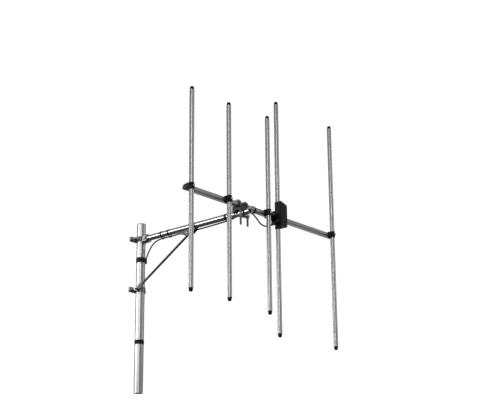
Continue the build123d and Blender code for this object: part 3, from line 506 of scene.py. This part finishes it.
# ---------------------------------------------------------------- coaxial cable
# The route of part.py, in millimetres, from the gland to the connector.
route = [
    (-176.8, 591.7, 646.0), (-165.7, 586.8, 639.0), (-151.0, 578.0, 630.5),
    (-136.0, 571.0, 630.0), (-121.5, 565.0, 636.5), (-109.5, 560.5, 651.5),
    (-99.5, 556.5, 664.0), (-88.5, 553.3, 672.5), (-75.5, 552.4, 676.0),
    (-64.0, 552.4, 676.0), (-52.0, 552.4, 676.0), (-40.9, 548.6, 672.4),
    (-32.5, 541.3, 665.6), (-28.0, 529.4, 657.6), (-21.0, 513.0, 649.0),
    (-12.5, 495.5, 641.5), (-6.5, 476.0, 638.2), (-5.5, 436.0, 637.2),
    (-8.5, 388.0, 637.2), (-15.0, 344.0, 640.0), (-19.3, 314.0, 641.5),
    (-19.3, 280.0, 643.5), (-17.6, 244.0, 644.0), (-13.0, 208.0, 641.5),
    (-7.0, 170.0, 637.6), (-4.5, 128.0, 637.8), (-4.8, 100.0, 636.0),
    (-6.3, 80.0, 631.5), (-9.6, 60.0, 623.0), (-14.0, 40.5, 609.0),
    (-18.6, 25.0, 594.0), (-22.0, 11.0, 577.0), (-23.3, -1.5, 557.0),
    (-21.8, -11.0, 533.0), (-17.6, -17.0, 508.0), (-13.2, -21.5, 484.0),
    (-10.8, -26.0, 464.0), (-10.0, -29.2, 445.0), (-10.0, -29.4, 424.0),
    (-10.4, -26.6, 405.0), (-10.9, -23.0, 384.0), (-11.6, -21.2, 354.0),
    (-12.6, -20.4, 308.0), (-14.0, -19.6, 260.0), (-15.4, -18.6, 212.0),
    (-16.8, -18.0, 166.0), (-18.4, -18.9, 128.0), (-19.8, -20.2, 100.0),
]
route = [Vector(p) * MM for p in route]
line = bpy.data.curves.new("cable_line", "CURVE")
line.dimensions = "3D"
line.resolution_u = 10
spline = line.splines.new("NURBS")
spline.points.add(len(route) - 1)
for point, place in zip(spline.points, route):
    point.co = (*place, 1.0)
spline.order_u = 3
spline.use_endpoint_u = True
line_object = bpy.data.objects.new("cable_line", line)
scene.collection.objects.link(line_object)
bpy.context.view_layer.update()
line_mesh = bpy.data.meshes.new_from_object(line_object)
cable_points = [v.co.copy() for v in line_mesh.vertices]
bpy.data.objects.remove(line_object)
cable_radius = 3.0 * MM
cable_shape = Shape()
cable_shape.sweep(cable_points, [cable_radius] * len(cable_points), 20)
cable = cable_shape.piece("coaxial_cable", looks["cable_jacket"], None)
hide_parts("cable_boom", "cable_arm")
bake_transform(cable)


def along_cable(start, length, step):
    """Points on the cable a step apart, from a distance along it."""
    gone, made = 0.0, []
    target = start
    for a, b in zip(cable_points, cable_points[1:]):
        run = (b - a).length
        while target <= gone + run and target <= start + length + 1e-9:
            made.append(a.lerp(b, (target - gone) / run))
            target += step
        gone += run
    return made


# The gland's strain relief: a taper with a groove at every third point of its middle.
taper_points = along_cable(1.5 * MM, 30.0 * MM, 1.5 * MM)
mouth_radius, groove_depth = 5.4 * MM, 0.7 * MM
taper_radii = []
for i in range(len(taper_points)):
    share = i / (len(taper_points) - 1)
    radius = (6.4 - 2.9 * share ** 0.8) * MM
    if i % 3 == 1 and 0.12 < share < 0.92:
        radius -= groove_depth
    taper_radii.append(radius)
taper_radii[0] = mouth_radius
strain_relief = Shape()
strain_relief.sweep(taper_points, taper_radii, 24)
strain_relief.piece("gland_strain_relief", looks["soft_seal"], "boom", angle=60)

# ---------------------------------------------------------------- threads on the M8 bolts
shank = 4.0 * MM
pitch_of_m8 = 1.25 * MM
across_flats = 13.0 * MM
along_z, along_y = (0, 0, 1), (0, 1, 0)

hook_low, hook_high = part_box("hook_bolts")
plate_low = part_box("arm_saddle_plate")[0].z
block_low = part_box("crossover_block")[0].z
tip_gap = 0.8 * MM
leg_length = plate_low - hook_low.z - 11.0 * MM
gap_start = plate_low + 6.2 * MM
gap_length = block_low - plate_low - 7.2 * MM
hook_threads = Shape()
for x in (hook_low.x + shank, hook_high.x - shank):
    y = hook_high.y - shank
    hook_threads.thread((x, y, hook_low.z + tip_gap), along_z, shank, leg_length, pitch_of_m8,
                        0.32 * MM)
    hook_threads.thread((x, y, gap_start), along_z, shank, gap_length, pitch_of_m8, 0.08 * MM)
hook_threads.piece("hook_bolt_threads", special["hook_bolts"], "side_arm",
                   angle=25)

nut_low, nut_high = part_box("mast_clamp_nuts")
bolt_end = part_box("mast_clamp_bolts")[1].y
corner = across_flats / math.sqrt(3)
clamp_threads = Shape()
for x in (nut_low.x + corner, nut_high.x - corner):
    for z in (nut_low.z + across_flats / 2, nut_high.z - across_flats / 2):
        clamp_threads.thread((x, nut_high.y + 0.4 * MM, z), along_y, shank,
                             bolt_end - nut_high.y - 1.0 * MM, pitch_of_m8, 0.3 * MM)
clamp_threads.piece("mast_clamp_bolt_threads", looks["zinc_fastener"], "side_arm",
                    angle=25)

# ---------------------------------------------------------------- weld bead
# It follows the socket's rounded square outline where that meets the round of the strap.
socket_low, socket_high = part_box("arm_socket")
strap_low, strap_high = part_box("upper_mast_strap")
seam_x, seam_z = (socket_high.x - socket_low.x) / 2, (socket_low.z + socket_high.z) / 2
seam_half = (socket_high.z - socket_low.z) / 2
strap_round = strap_high.y
squareness = 1.32
seam_steps = 64
seam = []
for k in range(seam_steps):
    turn = 2 * math.pi * k / seam_steps
    flat_x = max(-1.0, min(1.0, squareness * math.cos(turn)))
    flat_z = max(-1.0, min(1.0, squareness * math.sin(turn)))
    x = flat_x * seam_x * 0.985
    z = min(max(seam_z + flat_z * seam_half, strap_low.z), strap_high.z)
    seam.append(Vector((x, math.sqrt(max(strap_round ** 2 - x * x, 0.0)) + 0.6 * MM, z)))
bead_radius, bead_phase = 1.9 * MM, 0.4
bead_radii = [bead_radius * (1.0 + 0.16 * math.sin(i * 2.1 + bead_phase)
                             + 0.08 * math.sin(i * 5.3 + bead_phase))
              for i in range(seam_steps)]
weld = Shape()
weld.sweep(seam + [seam[0]], bead_radii + [bead_radii[0]], 8, capped=False)
weld.piece("socket_weld_bead", clamp_zinc, "side_arm")


# ---------------------------------------------------------------- cable ties
def tie_head(shape, centre, out, along, tail):
    """A cable tie's locking head with its ratchet slot rim and the cut tail."""
    out, along = Vector(out), Vector(along)
    across = out.cross(along)
    axes = (along, across, out)
    centre = Vector(centre)
    shape.box(centre + out * 1.6 * MM, (2.4 * MM, 3.6 * MM, 2.0 * MM), axes, 0.6 * MM)
    shape.box(centre + out * 3.7 * MM + across * 0.6 * MM, (1.5 * MM, 1.0 * MM, 0.35 * MM), axes,
              0.15 * MM, 1)
    steps = 8
    strip = []
    for i in range(steps + 1):
        share = i / steps
        lean = 2.6 * MM * share * share
        strip.append(centre + out * (2.2 * MM + tail * share) + across * lean)
    shape.sweep(strip, [1.7 * MM] * (steps + 1), 10, 0.32, up_hint=across)


tie_low, tie_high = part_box("arm_cable_ties")
arm_low, arm_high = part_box("arm_tube")
half_band = 2.5 * MM
head_x, head_z = 12.6 * MM, (arm_low.z + arm_high.z) / 2 + 1.5 * MM
arm_ties = Shape()
for y in (tie_low.y + half_band, tie_high.y - half_band):
    tie_head(arm_ties, (head_x, y, head_z), (1, 0, 0), (0, 1, 0), 6.0 * MM)
arm_ties.piece("arm_cable_tie_heads", looks["black_plastic"], "side_arm")

band_low, band_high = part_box("boom_cable_tie")
boom_low, boom_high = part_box("boom_front_cap")
head_x, head_y = (band_low.x + band_high.x) / 2, (boom_low.y + boom_high.y) / 2 - 2.0 * MM
head_z = (boom_low.z + boom_high.z) / 2 + 12.8 * MM
boom_tie = Shape()
tie_head(boom_tie, (head_x, head_y, head_z), (0, 0, 1), (1, 0, 0), 5.0 * MM)
boom_tie.piece("boom_cable_tie_head", looks["black_plastic"], "boom")

# ---------------------------------------------------------------- rings under the cap heads
through_elements = ("reflector", "director_1", "director_2", "director_3")
tube_ends = []
for name in (*through_elements, "dipole_lower_rod", "dipole_upper_rod"):
    tube_low, tube_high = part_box(name)
    x, y = (tube_low.x + tube_high.x) / 2, (tube_low.y + tube_high.y) / 2
    if name != "dipole_upper_rod":
        tube_ends.append((x, y, tube_low.z, -1))
    if name != "dipole_lower_rod":
        tube_ends.append((x, y, tube_high.z, 1))
ring_profile = [(8.0 * MM, 0.05 * MM), (9.2 * MM, 0.05 * MM), (9.4 * MM, 0.3 * MM),
                (9.2 * MM, 0.9 * MM), (8.6 * MM, 1.3 * MM), (8.0 * MM, 1.4 * MM)]
rims = Shape()
for x, y, z, way in tube_ends:
    rims.lathe((x, y, z), (0, 0, way), ring_profile, 36)
rims.piece("element_end_cap_rims", looks["black_plastic"], "boom")

# ---------------------------------------------------------------- collars of the element clamps
collar_profile = [(9.65 * MM, -0.2 * MM), (11.5 * MM, -2.2 * MM), (11.6 * MM, -0.4 * MM),
                  (11.1 * MM, 0.6 * MM), (10.0 * MM, 0.9 * MM), (9.65 * MM, 0.8 * MM)]
collars = Shape()
for name in through_elements:
    tube_low, tube_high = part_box(name)
    x, y = (tube_low.x + tube_high.x) / 2, (tube_low.y + tube_high.y) / 2
    grip_low, grip_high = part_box(name + "_clamp")
    collars.lathe((x, y, grip_low.z), (0, 0, -1), collar_profile, 40, closed=True)
    collars.lathe((x, y, grip_high.z), (0, 0, 1), collar_profile, 40, closed=True)
collars.piece("element_clamp_collars", looks["black_plastic"], "boom")

# ---------------------------------------------------------------- ribs of the connector boot
# They stand on the line of the cable's last run, wider towards the connector.
connector_way = (route[-1] - route[-2]).normalized()
ribs = Shape()
for k in range(3):
    foot, crest = (4.6 + 0.42 * k) * MM, (5.5 + 0.36 * k) * MM
    ribs.lathe(cable_points[-1] + connector_way * (5.0 + 6.5 * k) * MM, connector_way,
               [(foot, -0.9 * MM), (crest, -0.5 * MM), (crest, 0.5 * MM), (foot, 0.9 * MM)], 28)
ribs.piece("connector_boot_ribs", looks["soft_seal"], "side_arm")

# ---------------------------------------------------------------- floor
floor_z, floor_half = -0.95, 14.0
floor_mesh = bpy.data.meshes.new("floor")
floor_corners = [(-floor_half, -floor_half, floor_z), (floor_half, -floor_half, floor_z),
                 (floor_half, floor_half, floor_z), (-floor_half, floor_half, floor_z)]
floor_mesh.from_pydata(floor_corners, [], [(0, 1, 2, 3)])
floor_mat, floor_tree, floor_shader = new_material("floor_pale")
floor_cloud = noise(floor_tree, 3.0, 3.0, 0.5)
floor_tone = ramp(floor_tree, floor_cloud, [(0.3, grey(0.86)), (0.7, grey(0.90))])
floor_tree.links.new(floor_tone, floor_shader.inputs["Base Color"])
floor_shader.inputs["Roughness"].default_value = 0.75
# It glows a little, for the camera alone, to look about as pale as the white behind it.
floor_shader.inputs["Emission Color"].default_value = (1.0, 1.0, 1.0, 1.0)
floor_rays = floor_tree.nodes.new("ShaderNodeLightPath")
floor_glow = math_node(floor_tree, "MULTIPLY", floor_rays.outputs["Is Camera Ray"], 0.42)
floor_tree.links.new(floor_glow, floor_shader.inputs["Emission Strength"])
floor_mesh.materials.append(floor_mat)
floor = bpy.data.objects.new("floor", floor_mesh)
scene.collection.objects.link(floor)
floor.visible_glossy = False

# ---------------------------------------------------------------- lights
aim_point = Vector((0.0, 0.35, 0.45))


def soft_light(name, offset, size, power, size_y=None):
    """An area light at an offset from the point that every light faces."""
    data = bpy.data.lights.new(name, "AREA")
    data.shape = "RECTANGLE"
    data.size = size
    data.size_y = size_y or size
    data.energy = power
    light = bpy.data.objects.new(name, data)
    light.location = aim_point + Vector(offset)
    light.rotation_mode = "QUATERNION"
    light.rotation_quaternion = (-Vector(offset)).to_track_quat("-Z", "Y")
    scene.collection.objects.link(light)
    return light


# The key light stands where the upright tubes mirror it towards the camera.
mirror_of_tubes = Vector((-forward.x, -forward.y, forward.z))
soft_light("key", mirror_of_tubes * 3.6 - level * 0.2, 0.60, 11.0, 2.2)
soft_light("left", (2.7, -2.5, 0.5), 1.6, 20.0, 1.1)
soft_light("right", (-2.4, 2.6, 1.1), 1.4, 4.0)
soft_light("top", (0.2, 0.4, 3.2), 2.4, 10.0)
# The last two are linked to the mast and the boom, and light nothing else.
mast_side = soft_light("mast_side", (2.62, -0.60, 0.75), 3.4, 19.0, 1.8)
boom_fill = soft_light("boom_fill", (-1.2, -0.05, -0.9), 1.8, 4.0)
boom_fill.visible_camera = False
lit_nodes = ((mast_side, ("mast_tube", "mast_top_plug")),
             (boom_fill, ("boom_tube", "boom_front_cap", "boom_rear_cap")))
for light, names in lit_nodes:
    group = bpy.data.collections.new(light.name + "_group")
    for name in names:
        group.objects.link(nodes[name])
    light.light_linking.receiver_collection = group

# ---------------------------------------------------------------- world
# The camera sees white; the object is lit by a grey that brightens upwards.
world = bpy.data.worlds.new("studio")
scene.world = world
world.use_nodes = True
sky = world.node_tree
sky.nodes.clear()
seen = sky.nodes.new("ShaderNodeBackground")
seen.inputs["Color"].default_value = (1, 1, 1, 1)
seen.inputs["Strength"].default_value = 1.05
surround = sky.nodes.new("ShaderNodeBackground")
direction = sky.nodes.new("ShaderNodeTexCoord")
parts = sky.nodes.new("ShaderNodeSeparateXYZ")
sky.links.new(direction.outputs["Generated"], parts.inputs[0])
rise = between(sky, parts.outputs["Z"], 0.5, 1.0)
heights = [(0.0, 0.03), (0.25, 0.06), (0.37, 0.13), (0.52, 0.20), (0.75, 0.22), (1.0, 0.28)]
sky.links.new(ramp(sky, rise, heights), surround.inputs["Color"])
rays = sky.nodes.new("ShaderNodeLightPath")
either = sky.nodes.new("ShaderNodeMixShader")
out = sky.nodes.new("ShaderNodeOutputWorld")
sky.links.new(rays.outputs["Is Camera Ray"], either.inputs[0])
sky.links.new(surround.outputs[0], either.inputs[1])
sky.links.new(seen.outputs[0], either.inputs[2])
sky.links.new(either.outputs[0], out.inputs["Surface"])
scene.view_settings.view_transform = "Standard"
